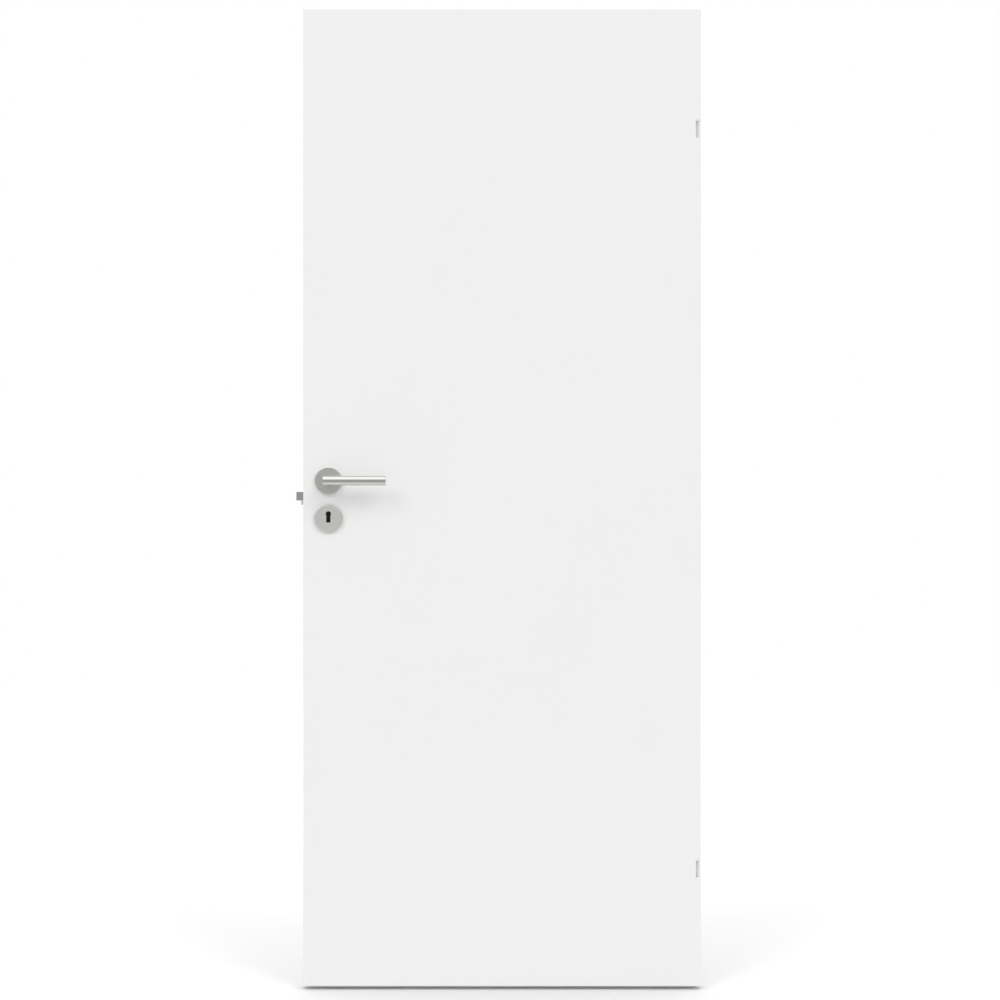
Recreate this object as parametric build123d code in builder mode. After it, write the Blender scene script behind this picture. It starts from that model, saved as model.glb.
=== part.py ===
from build123d import *
import math
import os

# Flush interior door leaf: two painted skins on a timber frame with a filled core,
# a mortise lock with a lever handle and a key plate on each side, and two let-in hinge halves.
# Millimetres. +Z is up, -Y leaves the front face, +X leaves the hinge edge, the lock edge is at -X.
# The origin is the middle of the lower hinge plate's outer face, on the leaf's middle plane.

# Leaf
leaf_width = 830
leaf_height = 2040
leaf_thickness = 40
skin_thickness = 3
stile_width = 36
rail_height = 36
arris_radius = 1
lock_block_width = 80
lock_block_height = 400

# Hinge halves
hinge_from_bottom = 244
hinge_from_top = 251
plate_height = 100
plate_width = 24
plate_thickness = 2.5
plate_corner = 5
cup_height = 40
cup_width = 10.2
cup_wall = 2
cup_clear_depth = 14
pin_diameter = 5
pin_inset = 3
pin_depth = 5.3
pin_fit = 0.05
cup_edge = 1
hinge_screw_pitch = 72
wood_screw_hole = 4.5
wood_screw_shank = 4
wood_screw_length = 32
wood_screw_point = 5
wood_screw_fit = 0.1
recess_reach = 4.4
recess_width = 1
recess_depth = 1.4
wood_screw_head = 8

# Lock
backset = 53
handle_height = 1055
case_above = 30
case_below = 108
case_depth = 82
case_thickness = 16
case_wall = 1.5
forend_width = 20
forend_thickness = 3
forend_margin = 15
forend_screw_inset = 8
case_fit = 0.5

# Latch bolt
latch_drop = 32
latch_height = 18
latch_thickness = 12
latch_throw = 15.5
latch_heel_height = 9
latch_heel_throw = 6
latch_heel_edge = 1
latch_nose_flat = 1.5
latch_body_length = 34
latch_fit = 0.5
tail_thickness = 2
tail_rim = 5

# Key-operated bolt, drawn back
bolt_drop = 77
bolt_height = 28
bolt_thickness = 10
bolt_length = 32
bolt_fit = 0.4

# Follower and spindle
spindle_square = 8
spindle_play = 0.1
follower_diameter = 18
follower_fit = 0.2
follower_arm_width = 7
follower_arm_gap = 0.3
lever_turn = 40

# Lever handle
bar_diameter = 20
bar_behind = 8.2
bar_length = 129.8
bar_reach = 50
bar_edge = 0.6
neck_diameter = 14
neck_blend = 0.6
neck_gap = 1
neck_fit = 0.15
socket_depth = 30
grub_diameter = 6
grub_length = 3
grub_socket = 3
grub_socket_depth = 2
grub_fit = 0.05
grub_reach = 15

# Roses and key plates
rose_diameter = 57
rose_height = 8
rose_wall = 1
rose_edge = 1.3
collar_width = 1.6
rose_fit = 0.2
spindle_bore = 22

# Keyhole
key_plate_drop = 78
keyhole_drop = 69
keyhole_round = 11.2
keyhole_slot = 8.8
keyhole_below = 18
keyhole_corner = 1.2
case_keyhole_inset = 0.4
key_bore_margin = 2.5
ward_thickness = 2
ward_reach = 15

# Places worked out from the sizes above
half = leaf_thickness / 2
frame_half = half - skin_thickness
lock_edge = -leaf_width
leaf_bottom = -hinge_from_bottom
leaf_top = leaf_bottom + leaf_height
leaf_middle = (leaf_bottom + leaf_top) / 2
lower_hinge = 0
upper_hinge = leaf_top - hinge_from_top
spindle_x = lock_edge + backset
spindle_z = leaf_bottom + handle_height
key_plate_z = spindle_z - key_plate_drop
keyhole_z = spindle_z - keyhole_drop
case_front = lock_edge + forend_thickness
case_back = case_front + case_depth
case_top = spindle_z + case_above
case_bottom = spindle_z - case_below
case_half = case_thickness / 2
case_inner_half = case_half - case_wall
case_middle_z = (case_top + case_bottom) / 2
forend_length = case_above + case_below + 2 * forend_margin
latch_z = spindle_z - latch_drop
latch_half = latch_thickness / 2
bolt_z = spindle_z - bolt_drop
latch_foot = latch_z - latch_height / 2 - latch_heel_height
arm_reach = latch_throw / (2 * math.sin(math.radians(lever_turn / 2)))
pin_x = -pin_inset
pin_y = -half + pin_depth
bar_y = -half - bar_reach
grub_y = -half - grub_reach

os.makedirs("parts", exist_ok=True)


def save(solid, name):
    # Labels a finished piece and writes it to its own file.
    solid.label = name
    export_step(solid, f"parts/{name}.step")
    print(name, round(solid.volume), "mm3")


def block(x_low, x_high, y_low, y_high, z_low, z_high):
    # A plain rectangular piece between two corners.
    with BuildPart() as piece:
        with BuildSketch(Plane.XY.offset(z_low)):
            with Locations(((x_low + x_high) / 2, (y_low + y_high) / 2)):
                Rectangle(x_high - x_low, y_high - y_low)
        extrude(amount=z_high - z_low)
    return piece.part


def to_back(solid):
    # The same piece on the other side of the leaf's middle plane.
    with BuildPart() as piece:
        mirror(solid, about=Plane.XZ)
    return piece.part


def keyhole(grow):
    # Keyhole outline in front view, wider all round by grow: a round top over a straight slot.
    slot_width = keyhole_slot + 2 * grow
    slot_height = keyhole_below + grow
    with BuildSketch(mode=Mode.PRIVATE) as outline:
        with Locations((0, -slot_height / 2)):
            Rectangle(slot_width, slot_height)
        fillet(outline.vertices().group_by(Axis.Y)[0], keyhole_corner)
        Circle(keyhole_round / 2 + grow)
    return outline.sketch


def wood_screws(seat, spacing):
    # Two countersunk screws with a cross recess, sunk just below the seat plane.
    head = wood_screw_head / 2 - wood_screw_fit
    shank = wood_screw_shank / 2
    sunk = wood_screw_fit
    neck = sunk + (head - shank) / math.tan(math.radians(41))
    with BuildPart() as piece:
        with Locations(seat):
            with Locations((0, spacing / 2), (0, -spacing / 2)):
                add(screw_body(head, shank, sunk, neck))
    return piece.part


def screw_body(head, shank, sunk, neck):
    # One screw pointing down its own -Z axis, with the cross recess cut in its head.
    with BuildPart() as body:
        with BuildSketch(Plane.XZ):
            with BuildLine():
                Polyline(
                    (0, -sunk),
                    (head, -sunk),
                    (shank, -neck),
                    (shank, wood_screw_point - wood_screw_length),
                    (0, -wood_screw_length),
                    close=True,
                )
            make_face()
        revolve(axis=Axis.Z)
        with BuildSketch(Plane.XY.offset(-sunk)):
            Rectangle(recess_reach, recess_width)
            Rectangle(recess_width, recess_reach)
        extrude(amount=-recess_depth, mode=Mode.SUBTRACT)
    return body.part


def screw_pilots(seat, spacing):
    # Round holes that the screws fill in the timber behind the plate.
    with BuildPart() as piece:
        with BuildSketch(seat):
            with Locations((0, spacing / 2), (0, -spacing / 2)):
                Circle(wood_screw_hole / 2)
        extrude(amount=-wood_screw_length)
    return piece.part


# Core and frame of the leaf


def lock_cavity():
    # Mortise for the case, recess for the forend and the bores for the spindle and the key.
    with BuildPart() as cavity:
        with BuildSketch(Plane.YZ.offset(case_front)):
            with Locations((0, case_middle_z)):
                Rectangle(case_thickness + 2 * case_fit, case_above + case_below + 2 * case_fit)
        extrude(amount=case_depth + case_fit)
        with BuildSketch(Plane.YZ.offset(lock_edge)):
            with Locations((0, case_middle_z)):
                SlotOverall(forend_length, forend_width, rotation=90)
        extrude(amount=forend_thickness)
        with BuildSketch(Plane.XZ.offset(half)):
            with Locations((spindle_x, spindle_z)):
                Circle(spindle_bore / 2)
            with Locations((spindle_x, keyhole_z)):
                add(keyhole(key_bore_margin))
        extrude(amount=-leaf_thickness)
    return cavity.part


def hinge_cavity(z):
    # Recess for a hinge plate and the pocket at the front corner that its cup fills.
    with BuildPart() as cavity:
        with BuildSketch(Plane.YZ.offset(-plate_thickness)):
            with Locations((0, z)):
                RectangleRounded(plate_width, plate_height, plate_corner)
        extrude(amount=plate_thickness)
        with BuildSketch(Plane.XY.offset(z - cup_height / 2)):
            with Locations((-cup_width, -half)):
                Rectangle(cup_width, cup_clear_depth + cup_wall, align=(Align.MIN, Align.MIN))
        extrude(amount=cup_height)
    return cavity.part


forend_seat = Plane(origin=(lock_edge, 0, case_middle_z), x_dir=(0, 1, 0), z_dir=(-1, 0, 0))
forend_screw_pitch = forend_length - 2 * forend_screw_inset
lock_space = lock_cavity()
hinge_spaces = [hinge_cavity(lower_hinge), hinge_cavity(upper_hinge)]


def hinge_seat(z):
    return Plane(origin=(0, 0, z), x_dir=(0, 1, 0), z_dir=(1, 0, 0))


def skin():
    # Front skin with eased outer edges, bored for the handle and key and notched for the hinge cups.
    with BuildPart() as piece:
        with BuildSketch(Plane.XZ.offset(frame_half)):
            with Locations((-leaf_width / 2, leaf_middle)):
                Rectangle(leaf_width, leaf_height)
        extrude(amount=skin_thickness)
        fillet(piece.faces().sort_by(Axis.Y)[0].edges(), arris_radius)
        add(lock_space, mode=Mode.SUBTRACT)
        for space in hinge_spaces:
            add(space, mode=Mode.SUBTRACT)
    return piece.part


def plain_skin():
    # Back skin: it has the bores, but the hinge cups don't reach it.
    with BuildPart() as piece:
        with BuildSketch(Plane.XZ.offset(-half)):
            with Locations((-leaf_width / 2, leaf_middle)):
                Rectangle(leaf_width, leaf_height)
        extrude(amount=skin_thickness)
        fillet(piece.faces().sort_by(Axis.Y)[-1].edges(), arris_radius)
        add(lock_space, mode=Mode.SUBTRACT)
    return piece.part


def lock_stile():
    with BuildPart() as piece:
        add(block(lock_edge, lock_edge + stile_width, -frame_half, frame_half, leaf_bottom, leaf_top))
        add(lock_space, mode=Mode.SUBTRACT)
        add(screw_pilots(forend_seat, forend_screw_pitch), mode=Mode.SUBTRACT)
    return piece.part


def hinge_stile():
    with BuildPart() as piece:
        add(block(-stile_width, 0, -frame_half, frame_half, leaf_bottom, leaf_top))
        for space in hinge_spaces:
            add(space, mode=Mode.SUBTRACT)
        for z in (lower_hinge, upper_hinge):
            add(screw_pilots(hinge_seat(z), hinge_screw_pitch), mode=Mode.SUBTRACT)
    return piece.part


def rail(z_low):
    return block(lock_edge + stile_width, -stile_width, -frame_half, frame_half, z_low, z_low + rail_height)


block_inner = lock_edge + stile_width + lock_block_width
block_low = spindle_z - lock_block_height / 2
block_high = spindle_z + lock_block_height / 2


def lock_block():
    # Timber beside the lock stile that holds the case.
    with BuildPart() as piece:
        add(block(lock_edge + stile_width, block_inner, -frame_half, frame_half, block_low, block_high))
        add(lock_space, mode=Mode.SUBTRACT)
    return piece.part


def core():
    # Filling between the stiles and rails, cut out round the lock block.
    with BuildPart() as piece:
        add(block(lock_edge + stile_width, -stile_width, -frame_half, frame_half,
                  leaf_bottom + rail_height, leaf_top - rail_height))
        add(block(lock_edge + stile_width, block_inner, -frame_half, frame_half, block_low, block_high),
            mode=Mode.SUBTRACT)
    return piece.part


# Hinge halves


def hinge_plate(z):
    # Let-in plate with a cup at the front corner, whose two ears hold the pin.
    with BuildPart() as piece:
        with BuildSketch(Plane.YZ.offset(-plate_thickness)):
            with Locations((0, z)):
                RectangleRounded(plate_width, plate_height, plate_corner)
        extrude(amount=plate_thickness)
        with BuildSketch(Plane.XY.offset(z - cup_height / 2)):
            with Locations((-cup_width, -half + arris_radius)):
                Rectangle(cup_width, cup_clear_depth + cup_wall - arris_radius, align=(Align.MIN, Align.MIN))
        extrude(amount=cup_height)
        with BuildSketch(Plane.XY.offset(z - cup_height / 2 + cup_wall)):
            with Locations((-cup_width, -half)):
                Rectangle(cup_width, cup_clear_depth, align=(Align.MIN, Align.MIN))
        extrude(amount=cup_height - 2 * cup_wall, mode=Mode.SUBTRACT)
        with BuildSketch(Plane.XY.offset(z - cup_height / 2)):
            with Locations((pin_x, pin_y)):
                Circle(pin_diameter / 2 + pin_fit)
        extrude(amount=cup_height, mode=Mode.SUBTRACT)
        corners = piece.edges().filter_by(Axis.Z).group_by(Axis.Y)[0].sort_by(Axis.X)
        fillet([corners[-1], corners[-2]], cup_edge)
        with Locations(hinge_seat(z)):
            with Locations((0, hinge_screw_pitch / 2), (0, -hinge_screw_pitch / 2)):
                CounterSinkHole(wood_screw_hole / 2, wood_screw_head / 2)
    return piece.part


def hinge_pin(z):
    with BuildPart() as piece:
        with BuildSketch(Plane.XY.offset(z - cup_height / 2)):
            with Locations((pin_x, pin_y)):
                Circle(pin_diameter / 2)
        extrude(amount=cup_height)
    return piece.part


# Mortise lock


def forend():
    # Face strip in the lock edge, round-ended, with two bolt windows and two countersunk holes.
    with BuildPart() as piece:
        with BuildSketch(Plane.YZ.offset(lock_edge)):
            with Locations((0, case_middle_z)):
                SlotOverall(forend_length, forend_width, rotation=90)
            with Locations((0, latch_foot - latch_fit)):
                Rectangle(latch_thickness + 2 * latch_fit, latch_height + latch_heel_height + 2 * latch_fit,
                          align=(Align.CENTER, Align.MIN), mode=Mode.SUBTRACT)
            with Locations((0, bolt_z)):
                Rectangle(bolt_thickness + 2 * bolt_fit, bolt_height + 2 * bolt_fit, mode=Mode.SUBTRACT)
        extrude(amount=forend_thickness)
        with Locations(forend_seat):
            with Locations((0, forend_screw_pitch / 2), (0, -forend_screw_pitch / 2)):
                CounterSinkHole(wood_screw_hole / 2, wood_screw_head / 2)
    return piece.part


def lock_case():
    # Pressed box behind the forend, open to it, with bearings for the follower and a keyhole each side.
    inner_height = case_above + case_below - 2 * case_wall
    with BuildPart() as piece:
        with BuildSketch(Plane.YZ.offset(case_front)):
            with Locations((0, case_middle_z)):
                Rectangle(case_thickness, case_above + case_below)
        extrude(amount=case_depth)
        with BuildSketch(Plane.YZ.offset(case_front)):
            with Locations((0, case_middle_z)):
                Rectangle(2 * case_inner_half, inner_height)
        extrude(amount=case_depth - case_wall, mode=Mode.SUBTRACT)
        with BuildSketch(Plane.XZ.offset(case_half)):
            with Locations((spindle_x, spindle_z)):
                Circle(follower_diameter / 2 + follower_fit)
            with Locations((spindle_x, keyhole_z)):
                add(keyhole(-case_keyhole_inset))
        extrude(amount=-case_thickness, mode=Mode.SUBTRACT)
    return piece.part


def centre_ward():
    # Fixed plate across the middle of the keyway, on the case's bottom and back walls.
    return block(spindle_x - ward_reach, case_back - case_wall, -ward_thickness / 2, ward_thickness / 2,
                 case_bottom + case_wall, keyhole_z + ward_reach)


def dead_bolt():
    # Key-operated bolt, drawn back flush with the forend.
    return block(lock_edge, lock_edge + bolt_length, -bolt_thickness / 2, bolt_thickness / 2,
                 bolt_z - bolt_height / 2, bolt_z + bolt_height / 2)


def latch_outline(throw):
    # Plan view of the bolt's nose: flat towards the front, sloped towards the back.
    with BuildSketch(mode=Mode.PRIVATE) as outline:
        with BuildLine():
            Polyline(
                (lock_edge + latch_body_length, -latch_half),
                (lock_edge - throw, -latch_half),
                (lock_edge - throw, -latch_half + latch_nose_flat),
                (lock_edge, latch_half),
                (lock_edge + latch_body_length, latch_half),
                close=True,
            )
        make_face()
    return outline.sketch


def latch_heel():
    # Short plastic heel under the nose, with rounded outer edges.
    with BuildPart() as piece:
        with BuildSketch(Plane.XY.offset(latch_foot)):
            add(latch_outline(latch_heel_throw))
        extrude(amount=latch_heel_height)
        outer = piece.faces().filter_by(Axis.X).sort_by(Axis.X)[0]
        fillet(outer.edges(), latch_heel_edge / 2)
    return piece.part


def latch_bolt():
    # Bevelled nose on a body with a slotted tail that passes round the follower.
    tail_low = latch_half - tail_thickness
    slot_left = spindle_x - follower_diameter / 2 - latch_fit - latch_throw
    slot_right = spindle_x + follower_diameter / 2 + latch_fit
    slot_half = follower_diameter / 2 + latch_fit
    arm_tip_x = spindle_x - latch_throw / 2
    arm_tip_z = spindle_z + arm_reach * math.cos(math.radians(lever_turn / 2))
    lug_left = arm_tip_x + follower_arm_width / 2 + follower_arm_gap
    tail_top = spindle_z + arm_reach + follower_arm_width / 2
    with BuildPart() as piece:
        with BuildSketch(Plane.XY.offset(latch_z - latch_height / 2)):
            add(latch_outline(latch_throw))
        extrude(amount=latch_height)
        with BuildSketch(Plane.XZ.offset(-latch_half)):
            with Locations((slot_left - tail_rim, latch_z - latch_height / 2)):
                Rectangle(slot_right - slot_left + 2 * tail_rim, tail_top - latch_z + latch_height / 2,
                          align=(Align.MIN, Align.MIN))
            with Locations(((slot_left + slot_right) / 2, spindle_z)):
                SlotOverall(slot_right - slot_left, 2 * slot_half, mode=Mode.SUBTRACT)
        extrude(amount=tail_thickness)
        with BuildSketch(Plane.XZ.offset(-tail_low)):
            with Locations((lug_left, arm_tip_z + follower_arm_gap)):
                Rectangle(2 * tail_rim, tail_top - arm_tip_z - follower_arm_gap, align=(Align.MIN, Align.MIN))
        extrude(amount=2 * tail_low)
    return piece.part


def follower():
    # Hub with a square hole, turning in the case, with an arm on top that draws the latch back.
    arm_half = latch_half - tail_thickness - latch_fit
    with BuildPart() as piece:
        with BuildSketch(Plane.XZ.offset(case_half)):
            with Locations((spindle_x, spindle_z)):
                Circle(follower_diameter / 2)
        extrude(amount=-case_thickness)
        with BuildSketch(Plane.XZ.offset(arm_half)):
            with Locations(Location((spindle_x, spindle_z), 90 + lever_turn / 2)):
                SlotCenterPoint((arm_reach / 2, 0), (arm_reach, 0), follower_arm_width)
        extrude(amount=-2 * arm_half)
        with BuildSketch(Plane.XZ.offset(case_half)):
            with Locations((spindle_x, spindle_z)):
                Rectangle(spindle_square + 2 * spindle_play, spindle_square + 2 * spindle_play)
        extrude(amount=-case_thickness, mode=Mode.SUBTRACT)
    return piece.part


# Handle set


def spindle():
    reach = half + neck_gap + socket_depth - 1
    with BuildPart() as piece:
        with BuildSketch(Plane.XZ.offset(reach)):
            with Locations((spindle_x, spindle_z)):
                Rectangle(spindle_square, spindle_square)
        extrude(amount=-2 * reach)
    return piece.part


def lever():
    # Straight round bar across the end of a slimmer neck, with a square socket and a grub screw hole.
    with BuildPart() as piece:
        with BuildSketch(Plane.YZ.offset(spindle_x - bar_behind)):
            with Locations((bar_y, spindle_z)):
                Circle(bar_diameter / 2)
        extrude(amount=bar_length)
        fillet(piece.faces().filter_by(Axis.X).edges(), bar_edge)
        with BuildSketch(Plane.XZ.offset(half + neck_gap)):
            with Locations((spindle_x, spindle_z)):
                Circle(neck_diameter / 2)
        extrude(amount=bar_reach - neck_gap)
        joint = piece.edges().filter_by(lambda edge: edge.bounding_box().size.Y > neck_blend
                                        and abs(edge.bounding_box().size.X - neck_diameter) < neck_blend)
        fillet(joint, neck_blend)
        with BuildSketch(Plane.XZ.offset(half + neck_gap)):
            with Locations((spindle_x, spindle_z)):
                Rectangle(spindle_square + 2 * spindle_play, spindle_square + 2 * spindle_play)
        extrude(amount=socket_depth, mode=Mode.SUBTRACT)
        with BuildSketch(Plane.XY.offset(spindle_z - neck_diameter / 2)):
            with Locations((spindle_x, grub_y)):
                Circle(grub_diameter / 2 + grub_fit)
        extrude(amount=neck_diameter / 2, mode=Mode.SUBTRACT)
    return piece.part


def lever_screws():
    # Grub screw with a hexagon socket under each neck, tightened against the spindle.
    tip = spindle_z - spindle_square / 2 - grub_fit
    with BuildPart() as piece:
        with BuildSketch(Plane.XY.offset(tip - grub_length)):
            with Locations((spindle_x, grub_y)):
                Circle(grub_diameter / 2)
        extrude(amount=grub_length)
        with BuildSketch(Plane.XY.offset(tip - grub_length)):
            with Locations((spindle_x, grub_y)):
                RegularPolygon(grub_socket / 2, side_count=6, major_radius=False)
        extrude(amount=grub_socket_depth, mode=Mode.SUBTRACT)
        mirror(about=Plane.XZ)
    return piece.part


def cap(z):
    # Drawn cup that covers a rose or key plate: open at the back, rounded at the front.
    with BuildPart() as piece:
        with BuildSketch(Plane.XZ.offset(half)):
            with Locations((spindle_x, z)):
                Circle(rose_diameter / 2)
        extrude(amount=rose_height)
        fillet(piece.faces().sort_by(Axis.Y)[0].edges(), rose_edge)
        offset(amount=-rose_wall, openings=piece.faces().sort_by(Axis.Y)[-1])
    return piece.part


def rose_cap():
    with BuildPart() as piece:
        add(cap(spindle_z))
        with BuildSketch(Plane.XZ.offset(half)):
            with Locations((spindle_x, spindle_z)):
                Circle(neck_diameter / 2 + neck_fit + collar_width + rose_fit)
        extrude(amount=rose_height, mode=Mode.SUBTRACT)
    return piece.part


base_radius = rose_diameter / 2 - rose_wall - rose_edge


def rose_base():
    # Bearing disc under the rose, with a collar that shows as a ring round the neck.
    with BuildPart() as piece:
        with BuildSketch(Plane.XZ.offset(half)):
            with Locations((spindle_x, spindle_z)):
                Circle(base_radius)
        extrude(amount=rose_height - rose_wall - rose_fit)
        with BuildSketch(Plane.XZ.offset(half)):
            with Locations((spindle_x, spindle_z)):
                Circle(neck_diameter / 2 + neck_fit + collar_width)
        extrude(amount=rose_height)
        with BuildSketch(Plane.XZ.offset(half)):
            with Locations((spindle_x, spindle_z)):
                Circle(neck_diameter / 2 + neck_fit)
        extrude(amount=rose_height, mode=Mode.SUBTRACT)
    return piece.part


def key_plate_cap():
    with BuildPart() as piece:
        add(cap(key_plate_z))
        with BuildSketch(Plane.XZ.offset(half)):
            with Locations((spindle_x, keyhole_z)):
                add(keyhole(0))
        extrude(amount=rose_height, mode=Mode.SUBTRACT)
    return piece.part


def key_plate_base():
    with BuildPart() as piece:
        with BuildSketch(Plane.XZ.offset(half)):
            with Locations((spindle_x, key_plate_z)):
                Circle(base_radius)
            with Locations((spindle_x, keyhole_z)):
                add(keyhole(rose_wall), mode=Mode.SUBTRACT)
        extrude(amount=rose_height - rose_wall - rose_fit)
    return piece.part


save(skin(), "front_skin")
save(plain_skin(), "back_skin")
save(lock_stile(), "lock_stile")
save(hinge_stile(), "hinge_stile")
save(rail(leaf_top - rail_height), "top_rail")
save(rail(leaf_bottom), "bottom_rail")
save(lock_block(), "lock_block")
save(core(), "core")

for side, hinge_z in (("lower", lower_hinge), ("upper", upper_hinge)):
    save(hinge_plate(hinge_z), f"{side}_hinge_plate")
    save(hinge_pin(hinge_z), f"{side}_hinge_pin")
    save(wood_screws(hinge_seat(hinge_z), hinge_screw_pitch), f"{side}_hinge_screws")

save(forend(), "lock_forend")
save(wood_screws(forend_seat, forend_screw_pitch), "forend_screws")
save(lock_case(), "lock_case")
save(centre_ward(), "lock_centre_ward")
save(dead_bolt(), "dead_bolt")
save(latch_bolt(), "latch_bolt")
save(latch_heel(), "latch_heel")
save(follower(), "follower")
save(spindle(), "spindle")
save(lever_screws(), "lever_screws")

for name, make in (
    ("lever", lever),
    ("rose_cap", rose_cap),
    ("rose_base", rose_base),
    ("key_plate_cap", key_plate_cap),
    ("key_plate_base", key_plate_base),
):
    front_piece = make()
    save(front_piece, f"front_{name}")
    save(to_back(front_piece), f"back_{name}")
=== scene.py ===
import math
import bpy
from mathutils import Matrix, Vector


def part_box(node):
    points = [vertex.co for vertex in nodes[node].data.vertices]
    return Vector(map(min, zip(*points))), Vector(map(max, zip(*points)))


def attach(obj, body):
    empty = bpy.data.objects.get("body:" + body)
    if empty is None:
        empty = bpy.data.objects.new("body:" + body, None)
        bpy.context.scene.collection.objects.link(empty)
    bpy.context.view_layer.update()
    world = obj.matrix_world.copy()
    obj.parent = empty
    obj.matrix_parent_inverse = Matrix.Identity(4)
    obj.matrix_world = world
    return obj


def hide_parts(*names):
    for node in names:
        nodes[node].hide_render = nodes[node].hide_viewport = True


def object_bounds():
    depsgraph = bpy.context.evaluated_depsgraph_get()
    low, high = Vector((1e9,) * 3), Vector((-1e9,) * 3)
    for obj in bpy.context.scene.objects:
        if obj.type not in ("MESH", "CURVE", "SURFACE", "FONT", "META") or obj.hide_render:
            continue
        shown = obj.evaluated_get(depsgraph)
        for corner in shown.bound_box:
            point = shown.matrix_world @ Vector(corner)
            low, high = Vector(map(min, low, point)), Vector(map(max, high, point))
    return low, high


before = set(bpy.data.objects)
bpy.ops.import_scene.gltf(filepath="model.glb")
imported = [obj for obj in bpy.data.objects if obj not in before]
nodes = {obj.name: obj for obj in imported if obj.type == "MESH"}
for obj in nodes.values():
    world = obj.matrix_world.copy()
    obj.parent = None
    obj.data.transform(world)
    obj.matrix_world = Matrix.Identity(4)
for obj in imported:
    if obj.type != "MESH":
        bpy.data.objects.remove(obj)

cadBox = [list(corner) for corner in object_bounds()]
print("door: frame loaded,", len(nodes), "CAD nodes")

# where things are, read from the frame
spindleLow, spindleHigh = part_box("spindle")
spindleX = (spindleLow.x + spindleHigh.x) / 2
spindleZ = (spindleLow.z + spindleHigh.z) / 2
plateLow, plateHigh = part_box("front_key_plate_cap")
keyPlateX = (plateLow.x + plateHigh.x) / 2
keyPlateZ = (plateLow.z + plateHigh.z) / 2
skinLow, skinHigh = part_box("front_skin")  # the skin is as large as the leaf
leafCentreX = (skinLow.x + skinHigh.x) / 2
leafCentreZ = (skinLow.z + skinHigh.z) / 2


def addNode(tree, kind, values=None, **settings):
    # values: socket name or number to a value, or to another node's output
    node = tree.nodes.new(kind)
    for key, value in settings.items():
        setattr(node, key, value)
    for socket, value in (values or {}).items():
        if isinstance(value, bpy.types.NodeSocket):
            tree.links.new(value, node.inputs[socket])
        else:
            node.inputs[socket].default_value = value
    return node


def calc(tree, operation, a, b=0.0):
    return addNode(tree, "ShaderNodeMath", {0: a, 1: b}, operation=operation).outputs[0]


def mixColour(tree, factor, a, b):
    node = addNode(tree, "ShaderNodeMix", {0: factor, 6: a, 7: b}, data_type="RGBA")
    return node.outputs[2]


def mapRange(tree, value, low, high, newLow, newHigh):
    node = addNode(tree, "ShaderNodeMapRange", {0: value, 1: low, 2: high, 3: newLow, 4: newHigh})
    return node.outputs[0]


def noise(tree, vector, scale, detail):
    values = {"Vector": vector, "Scale": scale, "Detail": detail}
    return addNode(tree, "ShaderNodeTexNoise", values).outputs[0]


def startGroup(name, inputs, outputs):
    # an empty shader group with its sockets made
    tree = bpy.data.node_groups.new(name, "ShaderNodeTree")
    for label, kind, value in inputs:
        socket = tree.interface.new_socket(label, in_out="INPUT", socket_type=kind)
        if value is not None:
            socket.default_value = value
    for label, kind in outputs:
        tree.interface.new_socket(label, in_out="OUTPUT", socket_type=kind)
    return tree, tree.nodes.new("NodeGroupInput").outputs, tree.nodes.new("NodeGroupOutput").inputs


def lacquerTexture():
    # rolled lacquer: a long soft ripple, fine orange peel and slow patches of shine
    look = {"patchScale": 3.0, "rippleHeight": 2.5, "peelShine": 0.4, "patchShine": 0.6}
    tree, given, out = startGroup(
        "lacquer texture",
        [("Vector", "NodeSocketVector", None), ("Peel Size", "NodeSocketFloat", 0.0022),
         ("Ripple Size", "NodeSocketFloat", 0.03)],
        [("Height", "NodeSocketFloat"), ("Shine", "NodeSocketFloat"), ("Tone", "NodeSocketFloat")])
    peel = noise(tree, given["Vector"], calc(tree, "DIVIDE", 1.0, given["Peel Size"]), 2.0)
    ripple = noise(tree, given["Vector"], calc(tree, "DIVIDE", 1.0, given["Ripple Size"]), 1.0)
    patch = noise(tree, given["Vector"], look["patchScale"], 3.0)
    high = calc(tree, "ADD", peel, calc(tree, "MULTIPLY", ripple, look["rippleHeight"]))
    shine = calc(tree, "ADD", calc(tree, "MULTIPLY", peel, look["peelShine"]),
                 calc(tree, "MULTIPLY", patch, look["patchShine"]))
    tree.links.new(high, out["Height"])
    tree.links.new(shine, out["Shine"])
    tree.links.new(patch, out["Tone"])
    return tree


def brushedGrain():
    # fine scratch lines along the vector's X, with a few that are deeper
    look = {"deepScale": 0.31, "deepFrom": 0.6, "deepTo": 0.75, "deepHeight": 0.4, "fineShade": 0.7,
            "deepShade": 0.3}
    tree, given, out = startGroup(
        "brushed grain",
        [("Vector", "NodeSocketVector", None), ("Line Width", "NodeSocketFloat", 0.00025),
         ("Line Length", "NodeSocketFloat", 0.02)],
        [("Height", "NodeSocketFloat"), ("Shade", "NodeSocketFloat")])
    across = calc(tree, "DIVIDE", 1.0, given["Line Width"])
    along = calc(tree, "DIVIDE", 1.0, given["Line Length"])
    stretch = addNode(tree, "ShaderNodeCombineXYZ", {0: along, 1: across, 2: across}).outputs[0]
    place = addNode(tree, "ShaderNodeVectorMath", {0: given["Vector"], 1: stretch},
                    operation="MULTIPLY").outputs[0]
    fine = noise(tree, place, 1.0, 3.0)
    deep = noise(tree, place, look["deepScale"], 1.0)
    scratch = mapRange(tree, deep, look["deepFrom"], look["deepTo"], 0.0, 1.0)
    height = calc(tree, "SUBTRACT", fine, calc(tree, "MULTIPLY", scratch, look["deepHeight"]))
    shade = calc(tree, "ADD", calc(tree, "MULTIPLY", fine, look["fineShade"]),
                 calc(tree, "MULTIPLY", scratch, look["deepShade"]))
    tree.links.new(height, out["Height"])
    tree.links.new(shade, out["Shade"])
    return tree


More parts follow.
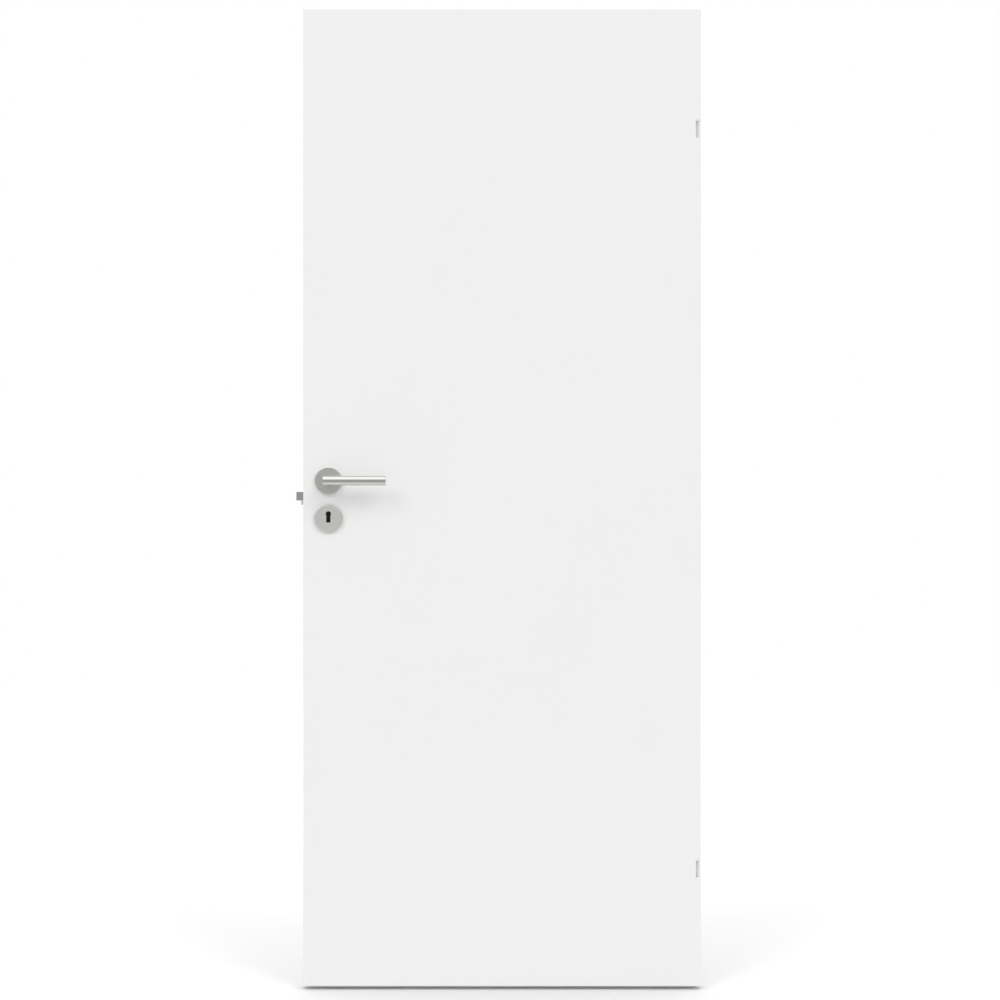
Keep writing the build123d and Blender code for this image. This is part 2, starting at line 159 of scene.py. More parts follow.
def timberGrain():
    # year rings seen along the board, with pores and a soft change of tone
    look = {"squeeze": (1.0, 1.0, 0.06), "bendScale": 9.0, "bendReach": 0.05, "slopeX": 0.9, "slopeY": 1.6,
            "poreScale": 900.0, "lateWood": 2.2}
    tree, given, out = startGroup(
        "timber grain",
        [("Vector", "NodeSocketVector", None), ("Ring Width", "NodeSocketFloat", 0.004)],
        [("Ring", "NodeSocketFloat"), ("Pore", "NodeSocketFloat")])
    squeeze = addNode(tree, "ShaderNodeVectorMath", {0: given["Vector"], 1: look["squeeze"]},
                      operation="MULTIPLY").outputs[0]
    apart = addNode(tree, "ShaderNodeSeparateXYZ", {0: squeeze}).outputs
    deep = calc(tree, "ADD", calc(tree, "MULTIPLY", apart[0], look["slopeX"]),
                calc(tree, "MULTIPLY", apart[1], look["slopeY"]))
    bend = calc(tree, "MULTIPLY", noise(tree, squeeze, look["bendScale"], 2.0), look["bendReach"])
    phase = calc(tree, "DIVIDE", calc(tree, "ADD", deep, bend), given["Ring Width"])
    wave = calc(tree, "SINE", calc(tree, "MULTIPLY", phase, math.tau))
    ring = calc(tree, "POWER", mapRange(tree, wave, -1.0, 1.0, 0.0, 1.0), look["lateWood"])
    tree.links.new(ring, out["Ring"])
    tree.links.new(noise(tree, squeeze, look["poreScale"], 2.0), out["Pore"])
    return tree


lacquerGroup = lacquerTexture()
brushedGroup = brushedGrain()
timberGroup = timberGrain()
print("door: shader groups built")


def startMaterial(name, baseColour, roughness, metallic=0.0):
    material = bpy.data.materials.new(name)
    material.use_nodes = True
    tree = material.node_tree
    shader = tree.nodes["Principled BSDF"]
    shader.inputs["Base Color"].default_value = (*baseColour, 1.0)
    shader.inputs["Roughness"].default_value = roughness
    shader.inputs["Metallic"].default_value = metallic
    place = addNode(tree, "ShaderNodeTexCoord").outputs["Object"]
    return material, tree, shader, place


def useGroup(tree, group, values):
    node = tree.nodes.new("ShaderNodeGroup")
    node.node_tree = group
    for socket, value in values.items():
        if isinstance(value, bpy.types.NodeSocket):
            tree.links.new(value, node.inputs[socket])
        else:
            node.inputs[socket].default_value = value
    return node.outputs


def addBump(tree, shader, height, distance, strength=1.0):
    bump = addNode(tree, "ShaderNodeBump", {"Height": height, "Strength": strength, "Distance": distance})
    tree.links.new(bump.outputs[0], shader.inputs["Normal"])


def splitNormal(tree):
    # the surface normal's X, Y and Z
    normal = addNode(tree, "ShaderNodeNewGeometry").outputs["Normal"]
    return addNode(tree, "ShaderNodeSeparateXYZ", {0: normal}).outputs


def topEdgeMask(tree, place):
    # 1 on the top edge of the leaf, which is left unpainted
    look = {"reach": 0.004, "level": 0.97}  # how far below the top, and how nearly level a face has to be
    height = addNode(tree, "ShaderNodeSeparateXYZ", {0: place}).outputs[2]
    atTop = calc(tree, "GREATER_THAN", height, skinHigh.z - look["reach"])
    level = calc(tree, "GREATER_THAN", calc(tree, "ABSOLUTE", splitNormal(tree)[2]), look["level"])
    return calc(tree, "MULTIPLY", atTop, level)


def doorPaint():
    look = {"colour": (0.865, 0.865, 0.863), "shade": (0.858, 0.858, 0.855), "roughness": (0.36, 0.46),
            "peel": 0.0022, "ripple": 0.035, "depth": 0.00001,
            "board": (0.36, 0.25, 0.16), "fibre": (0.27, 0.18, 0.11), "fibreSize": 0.0006,
            "fibreDepth": 8.0, "boardRoughness": 0.8}
    material, tree, shader, place = startMaterial("white door lacquer", look["colour"], 0.4)
    skin = useGroup(tree, lacquerGroup, {"Vector": place, "Peel Size": look["peel"],
                                         "Ripple Size": look["ripple"]})
    lacquer = mixColour(tree, mapRange(tree, skin["Tone"], 0.35, 0.65, 0.0, 1.0),
                        (*look["colour"], 1), (*look["shade"], 1))
    # the top edges of the boards are left raw
    fibre = noise(tree, place, 1 / look["fibreSize"], 3.0)
    board = mixColour(tree, fibre, (*look["board"], 1), (*look["fibre"], 1))
    raw = topEdgeMask(tree, place)
    tree.links.new(mixColour(tree, raw, lacquer, board), shader.inputs["Base Color"])
    shine = mapRange(tree, skin["Shine"], 0.3, 0.7, *look["roughness"])
    tree.links.new(calc(tree, "MAXIMUM", shine, calc(tree, "MULTIPLY", raw, look["boardRoughness"])),
                   shader.inputs["Roughness"])
    fibres = calc(tree, "MULTIPLY", calc(tree, "MULTIPLY", raw, look["fibreDepth"]), fibre)
    addBump(tree, shader, calc(tree, "ADD", skin["Height"], fibres), look["depth"])
    return material


def edgePaint():
    # lacquer over timber: the grain along the edge still tells through it, and the top end is bare
    look = {"colour": (0.855, 0.855, 0.850), "shade": (0.835, 0.834, 0.828), "roughness": (0.40, 0.52),
            "peel": 0.0018, "ripple": 0.02, "peelShare": 0.3, "rings": 0.006, "ringTone": 0.6, "depth": 0.00004,
            "bump": 0.6, "early": (0.70, 0.53, 0.35), "late": (0.50, 0.33, 0.19), "endRings": 0.0021,
            "endRoughness": 0.78}
    material, tree, shader, place = startMaterial("lacquered edge", look["colour"], 0.45)
    skin = useGroup(tree, lacquerGroup, {"Vector": place, "Peel Size": look["peel"],
                                         "Ripple Size": look["ripple"]})
    wood = useGroup(tree, timberGroup, {"Vector": place, "Ring Width": look["rings"]})
    ends = useGroup(tree, timberGroup, {"Vector": place, "Ring Width": look["endRings"]})
    raw = topEdgeMask(tree, place)
    lacquer = mixColour(tree, calc(tree, "MULTIPLY", wood["Ring"], look["ringTone"]), (*look["colour"], 1),
                        (*look["shade"], 1))
    bare = mixColour(tree, ends["Ring"], (*look["early"], 1), (*look["late"], 1))
    tree.links.new(mixColour(tree, raw, lacquer, bare), shader.inputs["Base Color"])
    shine = mapRange(tree, skin["Shine"], 0.3, 0.7, *look["roughness"])
    tree.links.new(calc(tree, "MAXIMUM", shine, calc(tree, "MULTIPLY", raw, look["endRoughness"])),
                   shader.inputs["Roughness"])
    height = calc(tree, "ADD", calc(tree, "MULTIPLY", skin["Height"], look["peelShare"]), wood["Ring"])
    addBump(tree, shader, height, look["depth"], look["bump"])
    return material


def sawnTimber():
    look = {"early": (0.72, 0.55, 0.36), "late": (0.55, 0.36, 0.20), "rings": 0.0035,
            "roughness": (0.65, 0.85), "depth": 0.0002, "bump": 0.5, "sealed": (0.84, 0.84, 0.83),
            "sealDepth": 0.0005}
    material, tree, shader, place = startMaterial("sawn pine", look["early"], 0.75)
    wood = useGroup(tree, timberGroup, {"Vector": place, "Ring Width": look["rings"]})
    bare = mixColour(tree, wood["Ring"], (*look["early"], 1), (*look["late"], 1))
    # the underside of the leaf is sealed white
    height = addNode(tree, "ShaderNodeSeparateXYZ", {0: place}).outputs[2]
    below = calc(tree, "LESS_THAN", height, skinLow.z + look["sealDepth"])
    tree.links.new(mixColour(tree, below, bare, (*look["sealed"], 1)), shader.inputs["Base Color"])
    tree.links.new(mapRange(tree, wood["Pore"], 0.3, 0.7, *look["roughness"]), shader.inputs["Roughness"])
    addBump(tree, shader, wood["Pore"], look["depth"], look["bump"])
    return material


def coreBoard():
    look = {"colour": (0.60, 0.47, 0.32), "fleck": (0.42, 0.31, 0.2), "fleckSize": 0.003, "depth": 0.0004,
            "bump": 0.6}
    material, tree, shader, place = startMaterial("core board", look["colour"], 0.85)
    fleck = addNode(tree, "ShaderNodeTexVoronoi", {"Vector": place, "Scale": 1 / look["fleckSize"]})
    tree.links.new(mixColour(tree, fleck.outputs["Distance"], (*look["colour"], 1), (*look["fleck"], 1)),
                   shader.inputs["Base Color"])
    addBump(tree, shader, fleck.outputs["Distance"], look["depth"], look["bump"])
    return material


def turnedGrain(tree, a, b, depth):
    # the angle and radius of a and b beside a depth, for finishes that are brushed in circles
    angleLength = 0.02  # metres of grain to a radian
    radius = calc(tree, "SQRT", calc(tree, "ADD", calc(tree, "MULTIPLY", a, a), calc(tree, "MULTIPLY", b, b)))
    angle = calc(tree, "MULTIPLY", calc(tree, "ARCTAN2", b, a), angleLength)
    return addNode(tree, "ShaderNodeCombineXYZ", {0: angle, 1: radius, 2: depth}).outputs[0]


def polar(tree, place, centreX, centreZ):
    # brushed in circles round a Y axis
    apart = addNode(tree, "ShaderNodeSeparateXYZ", {0: place})
    x = calc(tree, "SUBTRACT", apart.outputs[0], centreX)
    z = calc(tree, "SUBTRACT", apart.outputs[2], centreZ)
    return turnedGrain(tree, x, z, apart.outputs[1])


def brushedMetal(name, colour, shade, roughness, centre=None, turned=None, lineLength=0.02, depth=0.000006,
                 rim=1.0):
    # centre: brushed in circles round that point; turned: the grain's own turn; rim: painted shade, the factor
    # that darkens the colour of the sloping edge
    slope = {"steep": 0.6, "flat": 0.97, "bump": 0.7}
    material, tree, shader, place = startMaterial(name, colour, roughness[0], 1.0)
    if centre:
        place = polar(tree, place, *centre)
    elif turned:
        place = addNode(tree, "ShaderNodeMapping", {"Vector": place, "Rotation": turned}).outputs[0]
    grain = useGroup(tree, brushedGroup, {"Vector": place, "Line Length": lineLength})
    tone = mixColour(tree, grain["Shade"], (*colour, 1), (*shade, 1))
    # painted shade: where the face slopes away from the front, the colour is darkened by the factor rim,
    # standing in for the dark room the rounded edge mirrors
    if rim < 1.0:
        front = calc(tree, "ABSOLUTE", splitNormal(tree)[1])
        flat = mapRange(tree, front, slope["steep"], slope["flat"], 0.0, 1.0)
        tone = mixColour(tree, flat, (*(c * rim for c in colour), 1), tone)
    tree.links.new(tone, shader.inputs["Base Color"])
    tree.links.new(mapRange(tree, grain["Shade"], 0.3, 0.7, *roughness), shader.inputs["Roughness"])
    addBump(tree, shader, grain["Height"], depth, slope["bump"])
    return material


def leverSteel():
    # brushed along the bar and along the neck, and turned in circles on the bar's ends
    look = {"colour": (0.588, 0.586, 0.572), "shade": (0.513, 0.511, 0.50), "roughness": (0.20, 0.29),
            "lineLength": 0.03, "depth": 0.000005, "bump": 0.7, "neckOverlap": 0.0004, "endFacing": 0.8}
    material, tree, shader, place = startMaterial("satin lever", look["colour"], look["roughness"][0], 1.0)
    low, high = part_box("front_lever")
    barRadius = (high.z - low.z) / 2
    barY = abs(low.y) - barRadius
    apart = addNode(tree, "ShaderNodeSeparateXYZ", {0: place})
    out = calc(tree, "ABSOLUTE", apart.outputs[1])
    onNeck = calc(tree, "LESS_THAN", out, barY - barRadius + look["neckOverlap"])
    alongNeck = addNode(tree, "ShaderNodeCombineXYZ", {0: out, 1: apart.outputs[0], 2: apart.outputs[2]})
    endGrain = turnedGrain(tree, calc(tree, "SUBTRACT", out, barY),
                           calc(tree, "SUBTRACT", apart.outputs[2], spindleZ), apart.outputs[0])
    onEnd = calc(tree, "GREATER_THAN", calc(tree, "ABSOLUTE", splitNormal(tree)[0]), look["endFacing"])
    onEnd = calc(tree, "MULTIPLY", onEnd, calc(tree, "SUBTRACT", 1.0, onNeck))
    vector = addNode(tree, "ShaderNodeMix", {0: onNeck, 4: place, 5: alongNeck.outputs[0]}, data_type="VECTOR")
    vector = addNode(tree, "ShaderNodeMix", {0: onEnd, 4: vector.outputs[1], 5: endGrain},
                     data_type="VECTOR")
    grain = useGroup(tree, brushedGroup, {"Vector": vector.outputs[1], "Line Length": look["lineLength"]})
    tree.links.new(mixColour(tree, grain["Shade"], (*look["colour"], 1), (*look["shade"], 1)),
                   shader.inputs["Base Color"])
    tree.links.new(mapRange(tree, grain["Shade"], 0.3, 0.7, *look["roughness"]), shader.inputs["Roughness"])
    addBump(tree, shader, grain["Height"], look["depth"], look["bump"])
    return material


def hingeCoat(name, level):
    # white powder coat: fine even texture with a little shine
    look = {"colour": (level, level, level * 0.99), "shade": (level * 0.97, level * 0.97, level * 0.96),
            "grain": 0.0009, "ripple": 0.006, "roughness": (0.34, 0.5), "depth": 0.00003, "bump": 0.6}
    material, tree, shader, place = startMaterial(name, look["colour"], 0.4)
    skin = useGroup(tree, lacquerGroup, {"Vector": place, "Peel Size": look["grain"],
                                         "Ripple Size": look["ripple"]})
    tree.links.new(mixColour(tree, skin["Tone"], (*look["colour"], 1), (*look["shade"], 1)),
                   shader.inputs["Base Color"])
    tree.links.new(mapRange(tree, skin["Shine"], 0.3, 0.7, *look["roughness"]), shader.inputs["Roughness"])
    addBump(tree, shader, skin["Height"], look["depth"], look["bump"])
    return material


def mouldedPlastic(name, colour, roughness):
    # fine-grained dark or grey surface, for the plastic bearings and the blackened lock case
    look = {"grain": 0.0004, "light": 1.12, "dark": 0.88, "depth": 0.00002, "bump": 0.5}
    material, tree, shader, place = startMaterial(name, colour, roughness[0])
    fine = noise(tree, place, 1 / look["grain"], 2.0)
    light = tuple(c * look["light"] for c in colour)
    dark = tuple(c * look["dark"] for c in colour)
    tree.links.new(mixColour(tree, fine, (*light, 1), (*dark, 1)), shader.inputs["Base Color"])
    tree.links.new(mapRange(tree, fine, 0.3, 0.7, *roughness), shader.inputs["Roughness"])
    addBump(tree, shader, fine, look["depth"], look["bump"])
    return material


def platedSteel(name, colour, roughness):
    # zinc-like plating: faint spangle and short marks
    look = {"spangle": 420.0, "haze": 160.0, "spangleShare": 0.25, "dark": 0.86, "dull": 1.2, "bright": 0.85,
            "depth": 0.00001, "bump": 0.5}
    material, tree, shader, place = startMaterial(name, colour, roughness, 1.0)
    spangle = addNode(tree, "ShaderNodeTexVoronoi", {"Vector": place, "Scale": look["spangle"]})
    haze = noise(tree, place, look["haze"], 4.0)
    tone = calc(tree, "ADD", calc(tree, "MULTIPLY", spangle.outputs["Distance"], look["spangleShare"]),
                calc(tree, "MULTIPLY", haze, 1 - look["spangleShare"]))
    dark = tuple(c * look["dark"] for c in colour)
    tree.links.new(mixColour(tree, tone, (*colour, 1), (*dark, 1)), shader.inputs["Base Color"])
    shine = mapRange(tree, haze, 0.3, 0.7, roughness * look["bright"], roughness * look["dull"])
    tree.links.new(shine, shader.inputs["Roughness"])
    addBump(tree, shader, tone, look["depth"], look["bump"])
    return material


# the rose and the key plate are one satin steel: the rose's colours are set darker as painted shade and the key
# plate's lighter as painted light
metal = {"stainless": (0.665, 0.662, 0.628), "stainlessShade": (0.57, 0.567, 0.543),
         "plate": (0.87, 0.865, 0.832), "plateShade": (0.79, 0.785, 0.757), "plated": (0.80, 0.80, 0.785),
         "platedShade": (0.68, 0.68, 0.66725),
         "latch": (0.52, 0.52, 0.52), "screw": (0.62, 0.62, 0.61)}
paint = doorPaint()
edge = edgePaint()
timber = sawnTimber()
core = coreBoard()
plastic = mouldedPlastic("black bearing plastic", (0.035, 0.035, 0.035), (0.42, 0.6))
heelPlastic = mouldedPlastic("grey latch heel", (0.66, 0.66, 0.66), (0.35, 0.5))
collarPlastic = mouldedPlastic("grey rose bearing", (0.20, 0.20, 0.20), (0.42, 0.6))
caseSteel = mouldedPlastic("blackened lock steel", (0.045, 0.045, 0.045), (0.5, 0.7))
wardSteel = mouldedPlastic("dull ward steel", (0.13, 0.13, 0.13), (0.45, 0.65))
leverMetal = leverSteel()
# painted shade: the rose's darker colour stands in for the lever's shade over it
roseMetalPaintedShade = brushedMetal("satin rose", metal["stainless"], metal["stainlessShade"], (0.34, 0.44),
                         centre=(spindleX, spindleZ))
# painted light: the key plate's lighter colour stands in for the bright ceiling it sees; rim=0.5 adds painted
# shade on its sloping edge
plateMetalPaintedLight = brushedMetal("satin key plate", metal["plate"], metal["plateShade"], (0.34, 0.44),
                          centre=(keyPlateX, keyPlateZ), rim=0.5)
forendMetal = brushedMetal("satin forend", metal["plated"], metal["platedShade"], (0.3, 0.42),
                           turned=(0, math.pi / 2, 0))
zinc = platedSteel("plated steel", metal["plated"], 0.32)
hingeWhite = hingeCoat("white hinge coat", 0.93)
pinWhite = hingeCoat("white pin coat", 0.80)
latchMetal = platedSteel("latch steel", metal["latch"], 0.36)
screwMetal = platedSteel("screw steel", metal["screw"], 0.3)
print("door: materials built")

finishOf = {
    "front_skin": paint, "back_skin": paint, "lock_stile": edge, "hinge_stile": edge,
    "top_rail": timber, "bottom_rail": timber, "lock_block": timber, "core": core,
    "lower_hinge_plate": hingeWhite, "upper_hinge_plate": hingeWhite,
    "lower_hinge_pin": pinWhite, "upper_hinge_pin": pinWhite,
    "lower_hinge_screws": screwMetal, "upper_hinge_screws": screwMetal, "forend_screws": screwMetal,
    "lock_forend": forendMetal, "lock_case": caseSteel, "lock_centre_ward": wardSteel,
    "latch_bolt": latchMetal, "latch_heel": heelPlastic, "dead_bolt": zinc,
    "follower": caseSteel, "spindle": zinc,
    "front_lever": leverMetal, "back_lever": leverMetal, "lever_screws": screwMetal,
    "front_rose_cap": roseMetalPaintedShade, "back_rose_cap": roseMetalPaintedShade,
    "front_rose_base": collarPlastic, "back_rose_base": collarPlastic,
    "front_key_plate_cap": plateMetalPaintedLight, "back_key_plate_cap": plateMetalPaintedLight,
    "front_key_plate_base": plastic, "back_key_plate_base": plastic,
}
for name, material in finishOf.items():
    nodes[name].data.materials.clear()
    nodes[name].data.materials.append(material)
print("door: CAD nodes dressed")


def woodScrewTree():
    # one countersunk screw with a cross recess, set on every point and turned to its "facing"
    tree = bpy.data.node_groups.new("wood screws", "GeometryNodeTree")
    tree.interface.new_socket("Geometry", in_out="INPUT", socket_type="NodeSocketGeometry")
    look = {"sides": 40, "coneSlope": 1.15, "pitDepth": 1.35, "pitWidth": 0.22, "pointRadius": 0.0001,
            "clear": 0.0001}
    for label in ("Head Diameter", "Head Rim", "Shank Diameter", "Length", "Point", "Recess Reach",
                  "Recess Width", "Recess Depth", "Sunk"):
        tree.interface.new_socket(label, in_out="INPUT", socket_type="NodeSocketFloat")
    tree.interface.new_socket("Seed", in_out="INPUT", socket_type="NodeSocketInt")
    tree.interface.new_socket("Material", in_out="INPUT", socket_type="NodeSocketMaterial")
    tree.interface.new_socket("Geometry", in_out="OUTPUT", socket_type="NodeSocketGeometry")
    given = tree.nodes.new("NodeGroupInput").outputs
    half = {label: calc(tree, "MULTIPLY", given[label], 0.5) for label in ("Head Diameter", "Shank Diameter")}
    taper = calc(tree, "SUBTRACT", half["Head Diameter"], half["Shank Diameter"])
    coneTop = calc(tree, "MULTIPLY", calc(tree, "ADD", given["Sunk"], given["Head Rim"]), -1.0)
    coneFoot = calc(tree, "SUBTRACT", coneTop, calc(tree, "MULTIPLY", taper, look["coneSlope"]))
    shankFoot = calc(tree, "SUBTRACT", given["Point"], given["Length"])

    def ring(kind, low, high, lowRadius, highRadius=None):
        # a cylinder or cone between two heights
        height = calc(tree, "SUBTRACT", high, low)
        if kind == "cone":
            solid = addNode(tree, "GeometryNodeMeshCone", {"Vertices": look["sides"], "Depth": height,
                                                           "Radius Bottom": lowRadius, "Radius Top": highRadius})
            lift = low
        else:
            solid = addNode(tree, "GeometryNodeMeshCylinder", {"Vertices": look["sides"], "Radius": lowRadius,
                                                               "Depth": height})
            lift = calc(tree, "MULTIPLY", calc(tree, "ADD", low, high), 0.5)
        move = addNode(tree, "ShaderNodeCombineXYZ", {2: lift}).outputs[0]
        return addNode(tree, "GeometryNodeTransform", {"Geometry": solid.outputs["Mesh"],
                                                       "Translation": move}).outputs[0]

    top = calc(tree, "MULTIPLY", given["Sunk"], -1.0)
    rim = ring("cylinder", coneTop, top, half["Head Diameter"])
    head = ring("cone", coneFoot, coneTop, half["Shank Diameter"], half["Head Diameter"])
    shank = ring("cylinder", shankFoot, coneFoot, half["Shank Diameter"])
    tip = ring("cone", calc(tree, "MULTIPLY", given["Length"], -1.0), shankFoot, look["pointRadius"],
               half["Shank Diameter"])
    whole = addNode(tree, "GeometryNodeMeshBoolean", operation="UNION", solver="EXACT")
    for part in (rim, head):
        tree.links.new(part, whole.inputs["Mesh 2"])
    cutters = []
    for reach, width in (("Recess Reach", "Recess Width"), ("Recess Width", "Recess Reach")):
        size = addNode(tree, "ShaderNodeCombineXYZ", {0: given[reach], 1: given[width],
                                                      2: calc(tree, "MULTIPLY", given["Recess Depth"], 2.0)})
        cube = addNode(tree, "GeometryNodeMeshCube", {"Size": size.outputs[0]})
        move = addNode(tree, "ShaderNodeCombineXYZ", {2: top}).outputs[0]
        cutters.append(addNode(tree, "GeometryNodeTransform", {"Geometry": cube.outputs["Mesh"],
                                                               "Translation": move}).outputs[0])
    pit = calc(tree, "MULTIPLY", given["Recess Depth"], look["pitDepth"])
    cutters.append(ring("cone", calc(tree, "SUBTRACT", top, pit), calc(tree, "ADD", top, look["clear"]),
                        look["pointRadius"], calc(tree, "MULTIPLY", given["Recess Reach"], look["pitWidth"])))
    cut = addNode(tree, "GeometryNodeMeshBoolean", {"Mesh 1": whole.outputs["Mesh"]},
                  operation="DIFFERENCE", solver="EXACT")
    for cutter in cutters:
        tree.links.new(cutter, cut.inputs["Mesh 2"])
    screw = addNode(tree, "GeometryNodeJoinGeometry")
    for part in (cut.outputs["Mesh"], shank, tip):
        tree.links.new(part, screw.inputs["Geometry"])
    facing = addNode(tree, "GeometryNodeInputNamedAttribute", {"Name": "facing"}, data_type="FLOAT_VECTOR")
    turn = addNode(tree, "FunctionNodeAlignRotationToVector", {"Vector": facing.outputs["Attribute"]}, axis="Z")
    placed = addNode(tree, "GeometryNodeInstanceOnPoints", {"Points": given["Geometry"],
                                                            "Instance": screw.outputs[0],
                                                            "Rotation": turn.outputs[0]})
    roll = addNode(tree, "FunctionNodeRandomValue", {"Seed": given["Seed"]}, data_type="FLOAT")
    roll.inputs[3].default_value = math.tau / 4
    spin = addNode(tree, "ShaderNodeCombineXYZ", {2: roll.outputs[1]})
    rolled = addNode(tree, "GeometryNodeRotateInstances", {"Instances": placed.outputs[0],
                                                           "Rotation": spin.outputs[0]})
    real = addNode(tree, "GeometryNodeRealizeInstances", {"Geometry": rolled.outputs[0]})
    dressed = addNode(tree, "GeometryNodeSetMaterial", {"Geometry": real.outputs[0],
                                                        "Material": given["Material"]})
    tree.links.new(dressed.outputs[0], tree.nodes.new("NodeGroupOutput").inputs[0])
    return tree


def doorScrews():
    # the two screws of each hinge plate and of the forend
    screw = {"Head Rim": 0.00025, "Shank Diameter": 0.004, "Length": 0.032, "Point": 0.005,
             "Recess Reach": 0.0044, "Recess Width": 0.001, "Recess Depth": 0.0012, "Sunk": 0.0001, "Seed": 4}
    sharpAbove = 20  # degrees between faces
    points, facing = [], []
    for node, side in (("lower_hinge_screws", 1), ("upper_hinge_screws", 1), ("forend_screws", -1)):
        low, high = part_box(node)
        screw["Head Diameter"] = high.y - low.y
        x = high.x if side > 0 else low.x
        for z in (low.z + screw["Head Diameter"] / 2, high.z - screw["Head Diameter"] / 2):
            points.append((x + side * screw["Sunk"], (low.y + high.y) / 2, z))
            facing.append((side, 0, 0))
    mesh = bpy.data.meshes.new("screw places")
    mesh.from_pydata(points, [], [])
    directions = mesh.attributes.new("facing", "FLOAT_VECTOR", "POINT")
    directions.data.foreach_set("vector", [value for one in facing for value in one])
    maker = bpy.data.objects.new("screw places", mesh)
    bpy.context.scene.collection.objects.link(maker)
    tree = woodScrewTree()
    modifier = maker.modifiers.new("screws", "NODES")
    modifier.node_group = tree
    values = {**screw, "Material": screwMetal}
    for item in tree.interface.items_tree:
        if item.in_out == "INPUT" and item.name in values:
            modifier[item.identifier] = values[item.name]
    bpy.context.view_layer.update()
    evaluated = maker.evaluated_get(bpy.context.evaluated_depsgraph_get())
    made = bpy.data.meshes.new_from_object(evaluated)
    bpy.data.objects.remove(maker)
    made.shade_smooth()
    made.set_sharp_from_angle(angle=math.radians(sharpAbove))
    piece = bpy.data.objects.new("door_screws", made)
    bpy.context.scene.collection.objects.link(piece)
    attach(piece, "leaf")
    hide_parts("lower_hinge_screws", "upper_hinge_screws", "forend_screws")
    print("door: screws made,", len(made.polygons), "faces")


doorScrews()


def studioFloor():
    # colour: what it throws back; seen: its level for the camera; mirrored: painted light for metal, a floor
    # brighter near the leaf and dimmer far off
    stage = {"gap": 0.0075, "size": 16.0, "colour": 0.70, "seen": 1.045, "mirroredNear": 1.1,
             "mirroredFar": 0.45, "near": 0.25, "far": 2.2, "contactReach": 1.3, "paintedContactShade": 0.30,
             "underLeaf": 0.36}
    z = cadBox[0][2] - stage["gap"]
    half = stage["size"] / 2
    mesh = bpy.data.meshes.new("floor")
    corners = [(-half, -half, z), (half, -half, z), (half, half, z), (-half, half, z)]
    mesh.from_pydata(corners, [], [(0, 1, 2, 3)])
    floor = bpy.data.objects.new("floor", mesh)
    bpy.context.scene.collection.objects.link(floor)
    material = bpy.data.materials.new("studio floor")
    material.use_nodes = True
    tree = material.node_tree
    tree.nodes.clear()
    path = addNode(tree, "ShaderNodeLightPath")
    apart = addNode(tree, "ShaderNodeSeparateXYZ", {0: addNode(tree, "ShaderNodeTexCoord").outputs["Object"]})
    away = calc(tree, "ABSOLUTE", apart.outputs[1])
    # painted light: what metal mirrors of the floor is brighter near the leaf than far off
    mirrored = mapRange(tree, away, stage["near"], stage["far"], stage["mirroredNear"], stage["mirroredFar"])
    # painted shade: the pale sheet's colour for the camera darkens softly, by ambient occlusion, where the leaf
    # stands on it
    nearby = addNode(tree, "ShaderNodeAmbientOcclusion", {"Distance": stage["contactReach"]}, samples=16)
    darkest = stage["seen"] * (1 - stage["paintedContactShade"])
    paintedContactShade = mapRange(tree, nearby.outputs["AO"], stage["underLeaf"], 1.0, darkest, stage["seen"])
    shade = addNode(tree, "ShaderNodeMix", {0: path.outputs["Is Glossy Ray"], 2: stage["colour"], 3: mirrored})
    shade = addNode(tree, "ShaderNodeMix", {0: path.outputs["Is Camera Ray"], 2: shade.outputs[0],
                                            3: paintedContactShade}).outputs[0]
    colour = addNode(tree, "ShaderNodeCombineXYZ", {0: shade, 1: shade, 2: shade})
    diffuse = addNode(tree, "ShaderNodeBsdfDiffuse", {"Color": colour.outputs[0]})
    addNode(tree, "ShaderNodeOutputMaterial", {"Surface": diffuse.outputs[0]})
    mesh.materials.append(material)


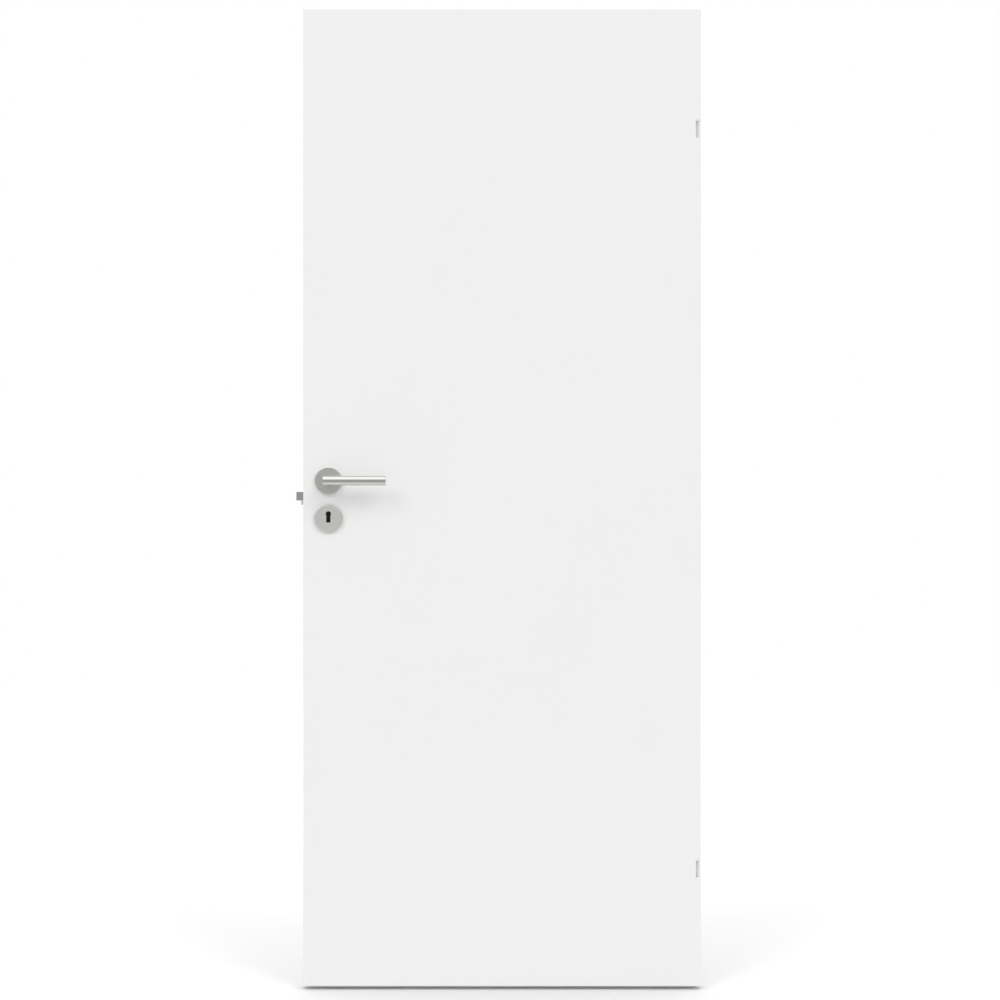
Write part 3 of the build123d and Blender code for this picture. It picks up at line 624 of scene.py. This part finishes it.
def studioLight():
    # room and behind light the part from the front and the back; front and above are what metal mirrors
    light = {"room": 0.730, "behind": 1.0, "turnFrom": -0.1, "turnTo": 0.5,
             "front": 0.555, "above": 1.75, "ceilingFrom": 0.29, "ceilingTo": 0.72}
    lamps = {"key": {"strength": 0.68, "spread": 30, "from": (-0.69, -1.0, 0.83)},
             "fill": {"strength": 0.66, "spread": 30, "from": (0.75, -1.0, 0.85)}}
    world = bpy.data.worlds.new("studio")
    bpy.context.scene.world = world
    world.use_nodes = True
    tree = world.node_tree
    tree.nodes.clear()
    path = addNode(tree, "ShaderNodeLightPath")
    place = addNode(tree, "ShaderNodeTexCoord").outputs["Generated"]
    apart = addNode(tree, "ShaderNodeSeparateXYZ", {0: place})
    # metal sees a dimmer room round it, down to the floor, and a bright ceiling
    height = calc(tree, "ARCSINE", apart.outputs[2])
    rise = mapRange(tree, height, light["ceilingFrom"], light["ceilingTo"], 0.0, 1.0)
    mirrored = mapRange(tree, rise, 0.0, 1.0, light["front"], light["above"])
    glossy = calc(tree, "MAXIMUM", path.outputs["Is Glossy Ray"], path.outputs["Is Transmission Ray"])
    plain = mapRange(tree, apart.outputs[1], light["turnFrom"], light["turnTo"], light["room"], light["behind"])
    level = calc(tree, "ADD", calc(tree, "MULTIPLY", glossy, mirrored),
                 calc(tree, "MULTIPLY", calc(tree, "SUBTRACT", 1.0, glossy), plain))
    level = calc(tree, "MAXIMUM", level, path.outputs["Is Camera Ray"])
    background = addNode(tree, "ShaderNodeBackground", {"Color": (1, 1, 1, 1), "Strength": level})
    addNode(tree, "ShaderNodeOutputWorld", {"Surface": background.outputs[0]})
    for name, values in lamps.items():
        lamp = bpy.data.lights.new(name, "SUN")
        lamp.energy = values["strength"]
        lamp.angle = math.radians(values["spread"])
        holder = bpy.data.objects.new(name, lamp)
        bpy.context.scene.collection.objects.link(holder)
        holder.rotation_euler = Vector(values["from"]).to_track_quat("Z", "Y").to_euler()
        holder.visible_glossy = False  # metal mirrors the room, not the lamps


def photoCamera():
    # straight on, level with the middle of the leaf; the last two values move the leaf in the frame
    shot = {"distance": 5.0, "film": 36.0, "farthest": 60.0, "frameWidth": 1000, "millimetresPerPixel": 2.0875,
            "pixelsRight": 2.0, "pixelsUp": 2.4}
    camera = bpy.data.cameras.new("photo camera")
    holder = bpy.data.objects.new("photo camera", camera)
    bpy.context.scene.collection.objects.link(holder)
    pixel = shot["millimetresPerPixel"] / 1000
    camera.sensor_width = shot["film"]
    camera.lens = shot["film"] * shot["distance"] / (pixel * shot["frameWidth"])
    camera.clip_end = shot["farthest"]
    holder.location = (leafCentreX - shot["pixelsRight"] * pixel, skinLow.y - shot["distance"],
                       leafCentreZ - shot["pixelsUp"] * pixel)
    holder.rotation_euler = (math.radians(90), 0, 0)
    bpy.context.scene.camera = holder


studioFloor()
studioLight()
photoCamera()
view = bpy.context.scene.view_settings
view.view_transform = "Standard"
print("door: stage, light and camera set")
